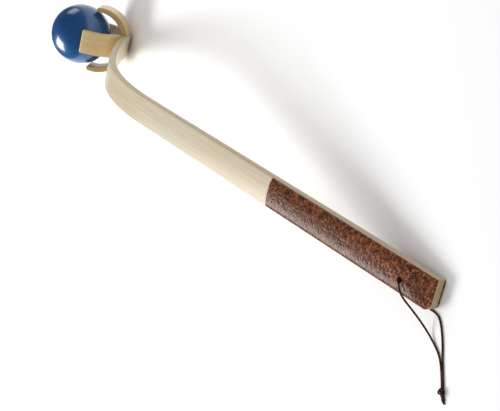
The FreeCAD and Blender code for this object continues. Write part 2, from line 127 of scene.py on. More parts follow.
class Wires:
    """Adds nodes to one tree, with their settings and the values or wires of their sockets."""

    def __init__(self, tree):
        self.tree = tree

    def node(self, kind, settings=None, inputs=None, **more):
        node = self.tree.nodes.new(kind)
        for name, value in (settings or {}).items():
            if name == "stops":
                ramp = node.color_ramp
                while len(ramp.elements) < len(value):
                    ramp.elements.new(1)
                for element, (position, colour) in zip(ramp.elements, value):
                    element.position, element.color = position, colour
            else:
                setattr(node, name, value)
        for key, value in {**(inputs or {}), **more}.items():
            if isinstance(value, Wire):
                self.tree.links.new(value.socket, node.inputs[key])
            else:
                node.inputs[key].default_value = value
        return Made(self, node)

    def ramp(self, factor, stops):
        return self.node("ShaderNodeValToRGB", {"stops": stops}, {0: factor})["Color"]

    def blend(self, factor, first, second, mode="MIX"):
        made = self.node("ShaderNodeMix", {"data_type": "RGBA", "blend_type": mode},
                         {0: factor, 6: first, 7: second})
        return made[2]

    def bump(self, height, distance, strength):
        inputs = {"Height": height, "Distance": distance, "Strength": strength}
        return self.node("ShaderNodeBump", None, inputs)["Normal"]


def srgb(red, green, blue):
    """A colour given on the usual 0 to 255 scale, as Blender's linear values."""
    linear = [c / 3294.6 if c < 10.3 else ((c / 255 + 0.055) / 1.055) ** 2.4
              for c in (red, green, blue)]
    return (*linear, 1.0)


def finish_called(name):
    """A new material, the wires of its tree, and its Principled shader."""
    material = bpy.data.materials.new(name)
    material.use_nodes = True
    return material, Wires(material.node_tree), material.node_tree.nodes["Principled BSDF"]


def feed(wires, shader, **wanted):
    """Links wires to the shader's inputs, which are named with _ for a space."""
    for name, wire in wanted.items():
        wires.tree.links.new(wire.socket, shader.inputs[name.replace("_", " ")])


def lacquered_ash(name, tint):
    """Pale ash under satin lacquer: long fine grain, short open pores, darker end grain at the
    butt, and painted shade on the sides.
    """
    material, wires, shader = finish_called(name)

    def kept(name):
        return wires.node("ShaderNodeAttribute", {"attribute_name": name})["Fac"]

    along, across, depth = kept("along"), kept("across"), kept("depth")

    def grain(long_scale, cross_scale, detail, distortion=0.0):
        spot = wires.node("ShaderNodeCombineXYZ", X=along * long_scale, Y=across * cross_scale,
                          Z=depth * cross_scale)["Vector"]
        made = wires.node("ShaderNodeTexNoise", None, {
            "Vector": spot, "Scale": 1.0, "Detail": detail, "Distortion": distortion})
        return made["Fac"]

    rings = grain(4, 900, 3, 0.4)
    fibres = grain(30, 2600, 4)
    pores = grain(170, 4200, 1)
    drift = grain(7, 20, 2)
    colour = wires.ramp(rings, [(0.3, srgb(203, 190, 163)), (0.5, srgb(210, 199, 174)),
                                (0.7, srgb(215, 205, 182))])
    streaks = wires.ramp(fibres, [(0.36, srgb(222, 213, 197)), (0.62, srgb(255, 255, 255))])
    colour = wires.blend(0.55, colour, streaks, "MULTIPLY")
    pore = wires.ramp(pores, [(0.0, (0, 0, 0, 1)), (0.66, (0, 0, 0, 1)), (0.74, (1, 1, 1, 1))])
    colour = wires.blend(pore.math("MULTIPLY", 0.3), colour, srgb(140, 116, 80))
    warm = wires.ramp(drift, [(0.35, srgb(255, 255, 255)), (0.7, srgb(252, 244, 228))])
    colour = wires.blend(0.8, colour, warm, "MULTIPLY")
    colour = wires.blend(1.0, colour, tint, "MULTIPLY")
    # Painted shade on the strip's sides, and the butt's end grain, which is darker in the wood
    # itself.
    darker = wires.blend(1.0, colour, srgb(214, 200, 176), "MULTIPLY")
    colour = wires.blend(kept("sawn"), colour, darker)
    relief = rings * 0.4 + fibres * 0.35 - pore * 0.6
    feed(wires, shader, Base_Color=colour, Roughness=0.36 + fibres * 0.16,
         Normal=wires.bump(relief, 0.00006, 0.5))
    shader.inputs["Coat Weight"].default_value = 0.25
    shader.inputs["Coat Roughness"].default_value = 0.22
    return material


def strip_tree():
    """Geometry nodes that sweep a rounded rectangle along the path held in a mesh's points."""
    tree = bpy.data.node_groups.new("bent_strip", "GeometryNodeTree")
    sockets = {}
    for name, kind, value in (("Path", "Geometry", None), ("Width", "Float", STRIP_WIDTH),
                              ("Edge round", "Float", STRIP_EDGE), ("Finish", "Material", None)):
        socket = tree.interface.new_socket(name, in_out="INPUT", socket_type="NodeSocket" + kind)
        sockets[name] = socket.identifier
        if value is not None:
            socket.default_value = value
    tree.interface.new_socket("Strip", in_out="OUTPUT", socket_type="NodeSocketGeometry")
    wires = Wires(tree)
    given = wires.node("NodeGroupInput")
    width, edge = given["Width"], given["Edge round"]

    def named(name, kind="FLOAT"):
        made = wires.node("GeometryNodeInputNamedAttribute", {"data_type": kind}, Name=name)
        return made["Attribute"]

    def keep(geometry, name, value):
        made = wires.node("GeometryNodeStoreNamedAttribute", {"data_type": "FLOAT"},
                          Geometry=geometry, Name=name, Value=value)
        return made["Geometry"]

    roundings_high = 2.04       # a little over 2, so that the roundings of a side don't meet
    section = wires.node("GeometryNodeCurvePrimitiveQuadrilateral",
                         Width=width, Height=edge * roundings_high)["Curve"]
    section = wires.node("GeometryNodeFilletCurve", {"mode": "POLY"},
                         Curve=section, Count=5, Radius=edge)["Curve"]
    place = wires.node("ShaderNodeSeparateXYZ",
                       Vector=wires.node("GeometryNodeInputPosition")["Position"])
    section = keep(section, "across", place["X"])
    section = keep(section, "rise", place["Y"])
    path = wires.node("GeometryNodeMeshToCurve", Mesh=given["Path"])["Curve"]
    swept = wires.node("GeometryNodeCurveToMesh", None, {
        "Curve": path, "Profile Curve": section, "Fill Caps": True})["Mesh"]
    half, rise = named("half"), named("rise")
    shallow = (half / edge).math("MINIMUM", 1.0)
    depth = rise * shallow + rise.math("SIGN") * (half - edge).math("MAXIMUM", 0.0)
    swept = keep(swept, "depth", depth)
    narrowed = named("across") * (1 - named("narrow") * 2 / width)
    spot = named("middle", "FLOAT_VECTOR").plus(named("out", "FLOAT_VECTOR").scaled(depth))
    spot = spot.plus(named("sideways", "FLOAT_VECTOR").scaled(narrowed))
    swept = wires.node("GeometryNodeSetPosition", Geometry=swept, Position=spot)["Geometry"]
    swept = wires.node("GeometryNodeRealizeInstances", Geometry=swept)["Geometry"]
    swept = wires.node("GeometryNodeSetMaterial", Geometry=swept,
                       Material=given["Finish"])["Geometry"]
    wires.node("NodeGroupOutput", Strip=swept)
    return tree, sockets


def plain_mesh(source, name):
    """The evaluated shape of an object as a new plain mesh object; the source is removed."""
    graph = bpy.context.evaluated_depsgraph_get()
    mesh = bpy.data.meshes.new_from_object(source.evaluated_get(graph))
    bpy.data.objects.remove(source)
    mesh.name = name
    piece = bpy.data.objects.new(name, mesh)
    bpy.context.scene.collection.objects.link(piece)
    return piece


def smooth(piece, sharp=math.radians(38)):
    """Outward normals and smooth shading, with hard edges only where the surface turns."""
    work = bmesh.new()
    work.from_mesh(piece.data)
    bmesh.ops.remove_doubles(work, verts=work.verts, dist=1e-7)
    bmesh.ops.recalc_face_normals(work, faces=work.faces)
    work.to_mesh(piece.data)
    work.free()
    piece.data.shade_smooth()
    piece.data.set_sharp_from_angle(angle=sharp)


# Painted shade: the sides are painted darker by how squarely they face sideways.
SIDE_FROM = 0.3                 # how squarely a face looks sideways before it darkens
SIDE_SHADE_SHARE = 0.8                # how much a side darkens, against end grain


def mark_end_grain_and_side_shade(piece, across):
    """Marks painted shade on the strip's two sides, and its butt's end grain, which drinks more
    finish and is darker.
    """
    layer = piece.data.attributes.new("sawn", "FLOAT", "FACE")
    for face, mark in zip(piece.data.polygons, layer.data):
        sideways = abs(face.normal.dot(across))
        # painted shade on a side, by how squarely it faces sideways
        side = max(0.0, (sideways - SIDE_FROM) / (1 - SIDE_FROM)) * SIDE_SHADE_SHARE
        at_butt = (face.center - butt_middle).length < STRIP_WIDTH
        mark.value = max(side, abs(face.normal.dot(grip_axis))) if at_butt else side


class Strip:
    """Cross-sections of a bent strip, each a point of its front face and one of its back face."""

    def __init__(self, home, sideways):
        self.home, self.sideways = home, home.to_3x3() @ Vector(sideways)
        self.sections = []      # front, back, how far along, narrowing of each side

    def add(self, front, back, home=None):
        front, back = ((home or self.home) @ point for point in (front, back))
        along = 0.0
        if self.sections:
            last_front, last_back, along, _ = self.sections[-1]
            along += ((front + back) / 2 - (last_front + last_back) / 2).length
        self.sections.append((front, back, along, 0.0))

    def round_tip(self, radius, at_start=False, steps=8, narrowing=0.6):
        """Thins the last stretch along a quarter circle, and narrows it by a share of that."""
        rows = self.sections[::-1] if at_start else self.sections
        front, back, tip_along, _ = rows[-1]
        inner = next(row for row in reversed(rows) if abs(row[2] - tip_along) > radius)
        length = abs(inner[2] - tip_along)
        rows = [row for row in rows if abs(row[2] - tip_along) >= length]
        for number in range(steps + 1):
            turn = math.pi / 2 * number / steps
            share = radius * (1 - math.sin(turn)) / length
            cut = radius * (1 - math.cos(turn))
            here_front, here_back = front.lerp(inner[0], share), back.lerp(inner[1], share)
            inward = (here_back - here_front).normalized() * cut
            along = tip_along + (inner[2] - tip_along) * share
            rows.append((here_front + inward, here_back - inward, along, cut * narrowing))
        self.sections = rows[::-1] if at_start else rows

    def piece(self, name, finish):
        """The swept strip as a plain mesh, which keeps its along, across and depth."""
        fronts, backs, alongs, narrows = zip(*self.sections)
        middles = [(front + back) / 2 for front, back in zip(fronts, backs)]
        gaps = [front - back for front, back in zip(fronts, backs)]
        mesh = bpy.data.meshes.new(name)
        mesh.from_pydata(middles, [(i, i + 1) for i in range(len(middles) - 1)], [])
        for key, rows in (("middle", middles), ("out", [gap.normalized() for gap in gaps]),
                          ("sideways", [self.sideways] * len(middles))):
            layer = mesh.attributes.new(key, "FLOAT_VECTOR", "POINT")
            layer.data.foreach_set("vector", [value for row in rows for value in row])
        for key, row in (("half", [gap.length / 2 for gap in gaps]), ("along", alongs),
                         ("narrow", narrows)):
            mesh.attributes.new(key, "FLOAT", "POINT").data.foreach_set("value", row)
        path = bpy.data.objects.new(name + "_path", mesh)
        bpy.context.scene.collection.objects.link(path)
        modifier = path.modifiers.new("strip", "NODES")
        modifier.node_group = bent_strip
        for key, value in (("Width", STRIP_WIDTH), ("Edge round", STRIP_EDGE), ("Finish", finish)):
            modifier[strip_sockets[key]] = value
        made = plain_mesh(path, name)
        for key in ("middle", "out", "sideways", "half", "narrow", "rise"):
            made.data.attributes.remove(made.data.attributes[key])
        smooth(made)
        return made


def polar(angle, radius, middle_x=0.0, middle_z=0.0):
    """A point of a circle in the side view, its angle counted from +X towards +Z."""
    return Vector((middle_x + radius * math.cos(angle), 0, middle_z + radius * math.sin(angle)))


# In the claw frame a front or back finger's inner face is an arc about (LEG_START, 0) and a
# straight leg. Its outer face is one arc from the root's outer face to the tip.
LEG_START = CLAW_DEPTH - STRIP_THICKNESS - FINGER_RADIUS
TIP_DEPTH = CLAW_DEPTH - FINGER_REACH
TIP_SPREAD = FINGER_RADIUS + TIP_THICKNESS
OUTER_RADIUS = (TIP_DEPTH ** 2 + TIP_SPREAD ** 2) / (2 * TIP_DEPTH)
OUTER_SWEEP = math.atan2(TIP_SPREAD, OUTER_RADIUS - TIP_DEPTH)


def finger_inside(share, start=0.0):
    """A point of a front or back finger's inner face in the claw frame: a bend, then a leg."""
    bend = FINGER_RADIUS * (math.pi / 2 - start)
    travel = share * (bend + LEG_START - FINGER_REACH)
    if travel < bend:
        return polar(start + travel / FINGER_RADIUS, FINGER_RADIUS, LEG_START)
    return Vector((LEG_START - travel + bend, 0, FINGER_RADIUS))


def finger_outside(angle):
    """A point of a front or back finger's outer face, its angle counted from the root."""
    return polar(angle, OUTER_RADIUS, CLAW_DEPTH - OUTER_RADIUS)


def downward(point):
    return Vector((point.x, 0, -point.z))


def handle_strip():
    """Grip, neck, throat and back finger, with the front half cut away at the claw's root."""
    strip = Strip(handle_frame, (0, 1, 0))
    half = STRIP_THICKNESS / 2
    grip_steps, neck_steps, throat_steps, lap_steps, finger_steps = 32, 40, 24, 4, 64
    for number in range(grip_steps + 1):
        x = -GRIP_RUN * number / grip_steps
        strip.add(Vector((x, 0, half)), Vector((x, 0, -half)))
    middle = Vector((-GRIP_RUN, 0, -NECK_RADIUS))
    for number in range(1, neck_steps + 1):
        turn = math.pi / 2 + NECK_ANGLE * number / neck_steps
        strip.add(polar(turn, NECK_RADIUS + half, middle.x, middle.z),
                  polar(turn, NECK_RADIUS - half, middle.x, middle.z))
    neck_end = math.pi / 2 + NECK_ANGLE
    middle += polar(neck_end, NECK_RADIUS - THROAT_RADIUS)
    lap_start = THROAT_ANGLE - STRIP_WIDTH / 2 / THROAT_RADIUS
    lap_run = THROAT_ANGLE - lap_start
    whole = [lap_start * number / throat_steps for number in range(1, throat_steps + 1)]
    lapped = [lap_start * LAP_STEP]
    lapped += [lap_start + lap_run * number / lap_steps for number in range(1, lap_steps + 1)]
    for turns, front in ((whole, THROAT_RADIUS + half), (lapped, THROAT_RADIUS)):
        for turn in turns:
            strip.add(polar(neck_end + turn, front, middle.x, middle.z),
                      polar(neck_end + turn, THROAT_RADIUS - half, middle.x, middle.z))
    for number in range(1, finger_steps + 1):
        share = number / finger_steps
        inner, outer = finger_inside(share), finger_outside(share * OUTER_SWEEP)
        if inner.z < STRIP_WIDTH / 2:       # cut away for the side fingers
            inner = inner.lerp(outer, 0.5)
        strip.add(downward(inner), downward(outer), claw_frame)
    strip.round_tip(TIP_ROUND)
    strip.round_tip(STRIP_EDGE, at_start=True)
    return strip


bent_strip, strip_sockets = strip_tree()
ash = lacquered_ash("lacquered_ash", (1, 1, 1, 1))
handle = handle_strip().piece("ash_handle_strip", ash)

HOLE = Vector((-0.0295, -0.002, 0))
HOLE_RADIUS = 0.0023
BUTT_ROUND = 0.007              # plan radius of the butt's corner on the cord's side
CUTTER_REACH = 0.02             # of the cutter, above and below the strip's middle
CUTTER_SPARE = 0.002            # how far the cutter goes past the strip's end and side


def butt_cut(piece):
    """Bores the cord's hole and rounds the butt's corner on the cord's side."""
    work = bmesh.new()
    bmesh.ops.create_cone(work, cap_ends=True, segments=48, radius1=HOLE_RADIUS,
                          radius2=HOLE_RADIUS, depth=CUTTER_REACH * 2,
                          matrix=Matrix.Translation(HOLE))
    middle = Vector((-BUTT_ROUND, BUTT_ROUND - STRIP_WIDTH / 2, 0))
    beside, steps = -STRIP_WIDTH / 2 - CUTTER_SPARE, 16
    outline = [middle + BUTT_ROUND * Vector((math.sin(a), -math.cos(a), 0))
               for a in (math.pi / 2 * number / steps for number in range(steps + 1))]
    outline += [Vector((CUTTER_SPARE, middle.y, 0)), Vector((CUTTER_SPARE, beside, 0)),
                Vector((middle.x, beside, 0))]
    low, high = ([work.verts.new(point + Vector((0, 0, z))) for point in outline]
                 for z in (-CUTTER_REACH, CUTTER_REACH))
    work.faces.new(low[::-1])
    work.faces.new(high)
    for k in range(len(outline)):
        work.faces.new((low[k - 1], low[k], high[k], high[k - 1]))
    bmesh.ops.recalc_face_normals(work, faces=work.faces)
    work.transform(handle_frame)
    tool = bpy.data.meshes.new("cutter")
    work.to_mesh(tool)
    work.free()
    cutter = bpy.data.objects.new("cutter", tool)
    bpy.context.scene.collection.objects.link(cutter)
    cut = piece.modifiers.new("cut", "BOOLEAN")
    cut.object, cut.operation, cut.solver = cutter, "DIFFERENCE", "EXACT"
    name = piece.name
    piece.name = name + "_blank"
    made = plain_mesh(piece, name)
    bpy.data.objects.remove(cutter)
    bpy.data.meshes.remove(tool)
    smooth(made)
    return made


handle = butt_cut(handle)
mark_end_grain_and_side_shade(handle, ACROSS)
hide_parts("handle_strip")
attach(handle, "launcher")

# ---------------------------------------------------------------- front finger
# A short bent strip of a more golden ash. Its feathered root is glued to the front face of the
# handle strip, against the edge of the side fingers.
GLUED_SHARE = 0.18              # of the inner face's run, behind which the root is glued


def front_finger():
    """The finger from its feathered root, whose outer face follows the throat, to its tip."""
    strip = Strip(claw_frame, (0, 1, 0))
    root_steps, free_steps = 8, 48
    half_width = STRIP_WIDTH / 2
    neck_radius = THROAT_RADIUS + STRIP_THICKNESS / 2
    neck_middle = CLAW_DEPTH - STRIP_THICKNESS / 2 + THROAT_RADIUS
    outer_middle = CLAW_DEPTH - OUTER_RADIUS
    span = neck_middle - outer_middle
    crotch_x = outer_middle + (span ** 2 + OUTER_RADIUS ** 2 - neck_radius ** 2) / (2 * span)
    crotch = math.acos((crotch_x - outer_middle) / OUTER_RADIUS)
    crotch_height = OUTER_RADIUS * math.sin(crotch)
    start = math.asin(half_width / FINGER_RADIUS)
    for number in range(root_steps + 1):
        share = number / root_steps
        height = half_width + (crotch_height - half_width) * share
        neck = polar(math.pi - math.asin(height / neck_radius), neck_radius, neck_middle)
        strip.add(finger_inside(share * GLUED_SHARE, start), neck)
    for number in range(1, free_steps + 1):
        share = number / free_steps
        outer = finger_outside(crotch + (OUTER_SWEEP - crotch) * share)
        strip.add(finger_inside(GLUED_SHARE + (1 - GLUED_SHARE) * share, start), outer)
    strip.round_tip(TIP_ROUND)
    return strip


golden_ash = lacquered_ash("golden_ash", (1.16, 0.98, 0.72, 1))
finger = front_finger().piece("ash_front_finger", golden_ash)
mark_end_grain_and_side_shade(finger, ACROSS)
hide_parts("front_finger")
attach(finger, "launcher")

# ---------------------------------------------------------------- side fingers
# One strip bent across the root of the claw makes both side fingers. Its outer half is cut away
# where the handle strip crosses it, so the two are level on the outside.
SIDE_ROOT_RADIUS, SIDE_ROOT_ANGLE = 0.041, math.radians(24)
SIDE_OUTER_RADIUS, SIDE_OUTER_SWEEP = 0.0305, math.radians(80)
SIDE_INNER_RADIUS, SIDE_INNER_SWEEP = 0.0264, math.radians(76)
SIDE_TIP_ROUND = 0.002
SIDE_LAP_STEP = 1.001           # the shoulder of this strip's own half-lap


def side_point(root_radius, side_radius, root_turn, side_turn):
    """A point of the side strip's plan, after turning through the root and then the side arc."""
    shift = root_radius - side_radius
    x = CLAW_DEPTH - SIDE_ROOT_RADIUS + shift * math.cos(root_turn)
    y = shift * math.sin(root_turn)
    turn = root_turn + side_turn
    return Vector((x + side_radius * math.cos(turn), y + side_radius * math.sin(turn), 0))


def side_fingers():
    """Half of the strip, from the middle of the root to a tip, and its mirror image before it."""
    strip = Strip(claw_frame, (0, 0, 1))
    inner_root = SIDE_ROOT_RADIUS - STRIP_THICKNESS
    lap_turn = math.asin(STRIP_WIDTH / 2 / SIDE_ROOT_RADIUS)
    lap_steps, root_steps, finger_steps = 6, 4, 48
    turns = [(lap_turn * number / lap_steps, True) for number in range(lap_steps + 1)]
    turns.append((lap_turn * SIDE_LAP_STEP, False))
    turns += [(lap_turn + (SIDE_ROOT_ANGLE - lap_turn) * number / root_steps, False)
              for number in range(1, root_steps)]
    rows = []
    for turn, lapped in turns:
        outer = side_point(SIDE_ROOT_RADIUS, SIDE_ROOT_RADIUS, turn, 0)
        inner = side_point(inner_root, inner_root, turn, 0)
        rows.append((inner, inner.lerp(outer, 0.5) if lapped else outer))
    for number in range(finger_steps + 1):
        share = number / finger_steps
        outer = side_point(SIDE_ROOT_RADIUS, SIDE_OUTER_RADIUS, SIDE_ROOT_ANGLE,
                           SIDE_OUTER_SWEEP * share)
        inner = side_point(inner_root, SIDE_INNER_RADIUS, SIDE_ROOT_ANGLE,
                           SIDE_INNER_SWEEP * share)
        rows.append((inner, outer))
    for inner, outer in rows[:0:-1]:
        strip.add(Vector((inner.x, -inner.y, 0)), Vector((outer.x, -outer.y, 0)))
    for inner, outer in rows:
        strip.add(inner, outer)
    strip.round_tip(SIDE_TIP_ROUND)
    strip.round_tip(SIDE_TIP_ROUND, at_start=True)
    return strip


sides = side_fingers().piece("ash_side_fingers", golden_ash)
mark_end_grain_and_side_shade(sides, claw_frame.to_3x3() @ Vector((0, 0, 1)))
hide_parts("side_fingers")
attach(sides, "launcher")

# ---------------------------------------------------------------- grip pads
# Two pads of moulded cork crumb and brown binder, sealed with a satin coat and glued to the
# grip's broad faces. The front one is domed and rolls down to the butt; the back one is thin.
PAD_LENGTH = 0.181
PAD_END_ROUND = 0.0011          # rounding across the ends of both pads
FRONT_WIDTH, FRONT_DOME = 0.023, (3.0, 0.5)
FRONT_CROWN, FRONT_END = 0.0032, 0.0014     # height along the middle, and at the butt
PAD_ROLL = 0.016                # run in which the front pad rolls down to the butt
BACK_WIDTH, BACK_DOME = 0.022, (6.0, 0.5)
BACK_THICKNESS = 0.0012
PIT_SIZE = 0.0016               # between neighbouring crumbs that may have broken out
PIT_DEPTH = 0.00022
PIT_WIDTH = 0.42                # of a crumb's cell
PIT_SHARE, PIT_SPREAD = 0.28, 0.2   # share of crumbs that broke out, and how much it drifts
PIT_SEED = 7                    # fixes noise_vector, whose offsets are drawn at start-up
noise.seed_set(PIT_SEED)


def cork_composite():
    """Crumbs of brown cork in a dark binder, with pale flecks and small dark pits."""
    material, wires, shader = finish_called("brown_cork")
    place = wires.node("ShaderNodeTexCoord")["Object"]
    spread = wires.node("ShaderNodeTexNoise", None, {
        "Vector": place, "Scale": 260.0, "Detail": 3.0})["Color"]
    bent = wires.node("ShaderNodeVectorMath", {"operation": "MULTIPLY_ADD"}, {
        0: spread, 1: (0.0012, 0.0012, 0.0012), 2: place})["Vector"]

    def crumbs(scale):
        return wires.node("ShaderNodeTexVoronoi", None, {"Vector": bent, "Scale": scale})

    coarse, fine = crumbs(560.0), crumbs(1500.0)
    value = wires.node("ShaderNodeSeparateColor", Color=coarse["Color"])["Red"]
    small = wires.node("ShaderNodeSeparateColor", Color=fine["Color"])["Green"]
    cloud = wires.node("ShaderNodeTexNoise", None, {
        "Vector": place, "Scale": 55.0, "Detail": 3.0})["Fac"]
    colour = wires.ramp(value * 0.5 + small * 0.5, [
        (0.12, srgb(40, 14, 4)), (0.34, srgb(98, 45, 18)), (0.52, srgb(130, 67, 31)),
        (0.72, srgb(158, 89, 46)), (0.93, srgb(206, 140, 88))])
    shade = wires.ramp(cloud, [(0.34, srgb(206, 192, 182)), (0.62, srgb(255, 255, 255))])
    colour = wires.blend(0.7, colour, shade, "MULTIPLY")
    hollow = wires.node("ShaderNodeAttribute", {"attribute_name": "pit"})["Fac"]
    colour = wires.blend(hollow, colour, srgb(30, 13, 7))
    relief = coarse["Distance"] * -120.0 + fine["Distance"] * -160.0 + small * 0.25
    feed(wires, shader, Base_Color=colour, Roughness=0.46 + small * 0.16 + hollow * 0.3,
         Normal=wires.bump(relief, 0.0001, 0.5))
    shader.inputs["Specular IOR Level"].default_value = 0.1
    shader.inputs["Coat Weight"].default_value = 0.3
    shader.inputs["Coat Roughness"].default_value = 0.22
    return material


def pit_at(place):
    """How much of a crumb is missing at a point of the pad, from 0 to 1."""
    wobble_scale, wobble_size, drift_scale, cell_spacing = 900, 0.25, 60, 7.31
    wobble = noise.noise_vector(place * wobble_scale) * wobble_size
    distances, centres = noise.voronoi(place / PIT_SIZE + wobble)
    chance = noise.cell(centres[0] * cell_spacing)
    if chance > PIT_SHARE - PIT_SPREAD * noise.noise(place * drift_scale):
        return 0.0
    return max(0.0, 1 - (distances[0] / PIT_WIDTH) ** 2)


def pad_mesh(name, width, side, height_at, dome, finish):
    """A pad as a closed grid: its outer face crowned across, its glued face flat."""
    length_steps, width_steps = 330, 44
    butt_edge = 0.0004          # how much less the butt's edge is rounded than the other end's
    end_drop = 0.5              # how far the roundings of the ends go down
    pits_above = 0.3            # of the crown: there are no pits in the rolled edges
    work = bmesh.new()
    pit = work.verts.layers.float.new("pit")
    half, base = width / 2, STRIP_THICKNESS / 2
    rows = []
    for i in range(length_steps + 1):
        x = -PAD_LENGTH * i / length_steps
        inside = min(1.0, min(PAD_LENGTH + x, -x + butt_edge) / PAD_END_ROUND)
        height = height_at(x) * math.sqrt(1 - (1 - inside) ** 2 * end_drop)
        row = []
        for j in range(width_steps + 1):
            y = half * math.sin(math.pi * (j / width_steps - 0.5))
            rim = max(0.0, 1 - abs(y / half) ** dome[0]) ** dome[1]
            spot = Vector((x, y, side * (base + height * rim)))
            hollow = pit_at(spot) if pits_above < rim else 0.0
            spot.z -= side * PIT_DEPTH * hollow
            vertex = work.verts.new(spot)
            vertex[pit] = hollow
            row.append(vertex)
        under = [work.verts.new((x, row[j].co.y, side * base)) for j in (-1, 0)]
        rows.append(row + under)
    for here, there in zip(rows, rows[1:]):
        for j in range(len(here)):
            k = (j + 1) % len(here)
            work.faces.new((here[j], here[k], there[k], there[j]))
    for end in (rows[0], rows[-1]):
        work.faces.new(end)
    bmesh.ops.remove_doubles(work, verts=work.verts, dist=1e-6)
    work.transform(handle_frame)
    mesh = bpy.data.meshes.new(name)
    work.to_mesh(mesh)
    work.free()
    mesh.materials.append(finish)
    piece = bpy.data.objects.new(name, mesh)
    bpy.context.scene.collection.objects.link(piece)
    smooth(piece)
    return butt_cut(piece)


def front_height(x):
    """The front pad's height above the strip, which falls off along a curve near the butt."""
    share = min(1.0, -x / PAD_ROLL)
    return FRONT_END + (FRONT_CROWN - FRONT_END) * math.sin(math.pi / 2 * share)


cork = cork_composite()
front_pad = pad_mesh("cork_front_pad", FRONT_WIDTH, 1, front_height, FRONT_DOME, cork)
back_pad = pad_mesh("cork_back_pad", BACK_WIDTH, -1, lambda x: BACK_THICKNESS, BACK_DOME, cork)
for pad, node in ((front_pad, "front_grip_pad"), (back_pad, "back_grip_pad")):
    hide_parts(node)
    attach(pad, "launcher")

# ---------------------------------------------------------------- ball
# A smooth, glossy blue ball of moulded rubber. The fingers' spring alone holds it.
BALL_RADIUS = 0.03175


def glossy_blue():
    """Blue rubber with a high gloss, faint clouding and a barely uneven skin."""
    material, wires, shader = finish_called("glossy_blue")
    place = wires.node("ShaderNodeTexCoord")["Object"]
    cloud = wires.node("ShaderNodeTexNoise", None, {
        "Vector": place, "Scale": 38.0, "Detail": 4.0})["Fac"]
    specks = wires.node("ShaderNodeTexNoise", None, {
        "Vector": place, "Scale": 900.0, "Detail": 2.0})["Fac"]
    colour = wires.ramp(cloud, [(0.3, srgb(8, 60, 114)), (0.55, srgb(12, 74, 130)),
                                (0.8, srgb(20, 90, 148))])
    feed(wires, shader, Base_Color=colour, Roughness=0.2 + cloud * 0.12,
         Normal=wires.bump(specks * 0.5 + cloud * 3.0, 0.00003, 0.4))
    shader.inputs["Coat Weight"].default_value = 0.6
    shader.inputs["Coat Roughness"].default_value = 0.08
    return material


work = bmesh.new()
bmesh.ops.create_icosphere(work, subdivisions=6, radius=BALL_RADIUS,
                           matrix=Matrix.Translation(ball_centre))
ball_mesh = bpy.data.meshes.new("blue_ball")
work.to_mesh(ball_mesh)
work.free()
ball_mesh.materials.append(glossy_blue())
ball = bpy.data.objects.new("blue_ball", ball_mesh)
bpy.context.scene.collection.objects.link(ball)
ball_mesh.shade_smooth()
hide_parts("ball")
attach(ball, "ball")

# ---------------------------------------------------------------- wrist cord
# One round leather lace through the hole near the butt. Its two strands lie on the table beside
# the butt and meet in an overhand knot, which leaves two short ends.
LACE = 0.0014
FRONT_STRAND = [
    (0.30576, -0.002, 0.01004), (0.3065, -0.0023, 0.0136), (0.3078, -0.0021, 0.0177),
    (0.3114, -0.0029, 0.0194), (0.3142, -0.0055, 0.0196), (0.3159, -0.0081, 0.0188),
    (0.3182, -0.0101, 0.0175), (0.3215, -0.0122, 0.0158), (0.3249, -0.0154, 0.0126),
    (0.3273, -0.0196, 0.0082), (0.3306, -0.0243, 0.0039), (0.3363, -0.0286, 0.0013),
    (0.343, -0.0319, 0.0007), (0.349, -0.035, 0.0007), (0.3534, -0.0394, 0.0007),
    (0.3566, -0.0442, 0.0007), (0.3594, -0.049, 0.0007), (0.3616, -0.053, 0.0007)]
BACK_STRAND = [
    (0.30576, -0.002, 0.01004), (0.3052, -0.00177, 0.00734), (0.3049, -0.002, 0.0047),
    (0.3057, -0.0031, 0.0021), (0.3086, -0.005, 0.00085), (0.314, -0.0084, 0.0007),
    (0.3204, -0.0121, 0.0007), (0.3268, -0.0132, 0.0007), (0.3328, -0.0124, 0.0007),
    (0.3384, -0.0132, 0.0007), (0.3432, -0.0178, 0.0007), (0.3473, -0.0237, 0.0007),
    (0.3504, -0.0291, 0.0007), (0.3529, -0.0344, 0.0007), (0.3554, -0.0392, 0.0007),
    (0.3581, -0.0437, 0.0007), (0.360794, -0.048422, 0.0007), (0.362914, -0.052277, 0.0007)]


def leather_lace():
    """Dark brown rolled leather in redder patches, lighter on the high spots of its fine creases
    and darker in their hollows.
    """
    material, wires, shader = finish_called("dark_lace")
    place = wires.node("ShaderNodeTexCoord")["Object"]
    creases = wires.node("ShaderNodeTexNoise", None, {
        "Vector": place, "Scale": 1500.0, "Detail": 3.0})["Fac"]
    patches = wires.node("ShaderNodeTexNoise", None, {
        "Vector": place, "Scale": 130.0, "Detail": 2.0})["Fac"]
    colour = wires.ramp(patches, [(0.35, srgb(44, 20, 8)), (0.55, srgb(82, 42, 15)),
                                  (0.75, srgb(112, 70, 28))])
    # The colour follows the creases: darker where the bump is low, lighter where it is high.
    crease_tone = wires.ramp(creases, [(0.35, srgb(150, 130, 120)), (0.6, srgb(255, 255, 255))])
    feed(wires, shader, Base_Color=wires.blend(0.8, colour, crease_tone, "MULTIPLY"),
         Roughness=0.55 + creases * 0.2, Normal=wires.bump(creases, 0.00012, 0.7))
    shader.inputs["Specular IOR Level"].default_value = 0.2
    return material


lace_finish = leather_lace()


def strand(name, points):
    """A stretch of lace as a round NURBS curve guided by the points."""
    curve = bpy.data.curves.new(name, "CURVE")
    curve.dimensions = "3D"
    curve.bevel_depth = LACE / 2
    curve.bevel_resolution = 5
    curve.resolution_u = 14
    curve.use_fill_caps = True
    line = curve.splines.new("NURBS")
    line.points.add(len(points) - 1)
    for point, place in zip(line.points, points):
        point.co = (*place, 1)
    line.order_u = 3
    line.use_endpoint_u = True
    curve.materials.append(lace_finish)
    piece = bpy.data.objects.new(name, curve)
    bpy.context.scene.collection.objects.link(piece)
    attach(piece, "launcher")
    return piece


front_strand = strand("lace_front_strand", FRONT_STRAND)
back_strand = strand("lace_back_strand", BACK_STRAND)
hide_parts("cord_front_strand")
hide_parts("cord_back_strand")

